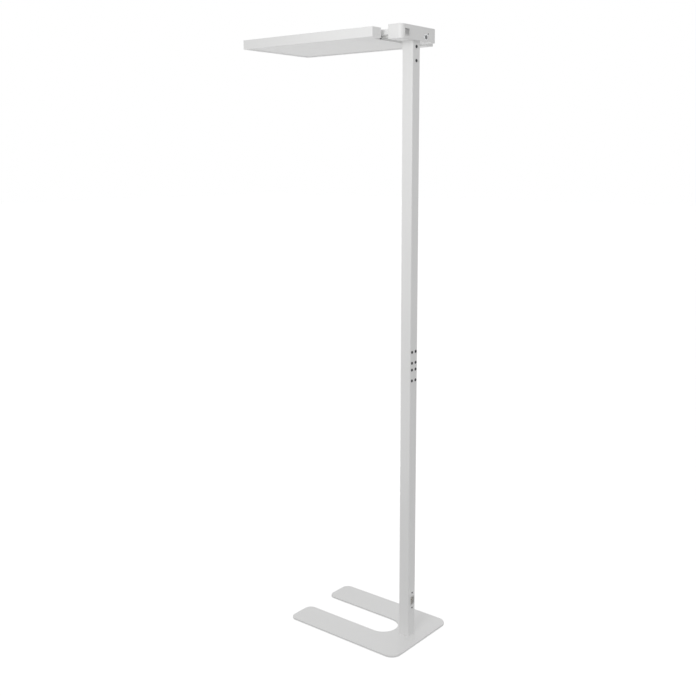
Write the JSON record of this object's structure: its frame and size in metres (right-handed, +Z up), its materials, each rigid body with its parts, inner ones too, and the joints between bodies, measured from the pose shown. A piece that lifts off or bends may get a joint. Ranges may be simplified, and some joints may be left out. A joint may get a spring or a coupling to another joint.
{
  "type": "office floor lamp",
  "caption": "Free-standing office floor lamp: U-shaped foot plate, square two-piece pole, control housing and a flat light panel reaching forward.",
  "frame": {"origin": "on the pole's axis at the underside of the centre foot pad, on the floor", "axes": "+Z up along the pole; the legs and the light panel point towards -Y; the mains inlet and the controls face +Y"},
  "size_m": [0.31, 0.612, 1.95],
  "materials": {
    "white_steel": "white fine-texture powder coat",
    "white_aluminium": "white fine-texture powder coat",
    "bare_aluminium": "mill finish sheet",
    "dark_screws": "black oxide",
    "plated_steel": "zinc plated",
    "black_plastic": "fine moulded texture",
    "white_plastic": "fine moulded texture",
    "rocker_plastic": "satin gloss",
    "button_plastic": "satin gloss",
    "button_ring": "satin chrome",
    "spring_steel": "bright drawn wire",
    "grommet_rubber": "matt",
    "pad_rubber": "matt, self-adhesive",
    "lead_sheath": "matt sheath",
    "wire_insulation": "smooth",
    "contact_brass": "bright",
    "board_green": "solder resist",
    "board_white": "white solder resist",
    "opal_diffuser": "opal, satin underside",
    "clear_guide": "polished edges",
    "reflector_white": "foil",
    "terminal_grey": "smooth",
    "driver_case": "smooth",
    "dark_lens": "smoked"
  },
  "bodies": {
    "lamp": {"base_plate": "white_steel", "base_pads": "pad_rubber", "foot_block": "plated_steel", "foot_screws": "plated_steel", "lower_pole": "white_steel", "joint_sleeve": "plated_steel", "upper_pole": "white_steel", "joint_screws": "dark_screws", "inlet_plate": "white_steel", "inlet_screws": "dark_screws", "inlet_body": "white_plastic", "inlet_pins": "contact_brass", "inlet_boot": "black_plastic", "mains_lead": "lead_sheath", "head_bracket": "plated_steel", "spigot_screws": "dark_screws", "bracket_screws": "plated_steel", "housing_shell": "white_steel", "housing_lid": "white_steel", "lid_screws": "plated_steel", "neck_bar": "white_aluminium", "neck_rear_screws": "plated_steel", "neck_front_screws": "plated_steel", "lead_grommets": "grommet_rubber", "head_lead": "lead_sheath", "terminal_block": "terminal_grey", "panel_terminal": "terminal_grey", "rocker_housing": "white_plastic", "rocker_tabs": "contact_brass", "button_bezel": "button_ring", "button_spring": "spring_steel", "tact_switch": "terminal_grey", "control_board": "board_green", "board_screws": "plated_steel", "indicator_lens": "dark_lens", "switch_leads": "wire_insulation", "board_leads": "wire_insulation", "panel_frame": "white_aluminium", "diffuser": "opal_diffuser", "light_guide": "clear_guide", "reflector_sheet": "reflector_white", "led_strips": "board_white", "back_tray": "bare_aluminium", "tray_screws": "plated_steel", "led_driver": "driver_case", "driver_screws": "plated_steel", "driver_leads": "wire_insulation", "led_leads": "wire_insulation", "head_cover": "white_aluminium", "cover_screws": "plated_steel"},
    "rocker": {"rocker": "rocker_plastic"},
    "button": {"push_button": "button_plastic"}
  },
  "joints": [
    {"name": "rocker_tilt", "type": "hinge", "parent": "lamp", "child": "rocker", "pos_m": [0.0645, 0.0265, 1.928], "axis": [1, 0, 0], "range_deg": [0, 18]},
    {"name": "button_press", "type": "slide", "parent": "lamp", "child": "button", "axis": [0, -1, 0], "range_m": [0, 0.0012], "stiffness_N_per_m": 400, "springref_m": -0.001, "deforming": ["button_spring"]}
  ]
}
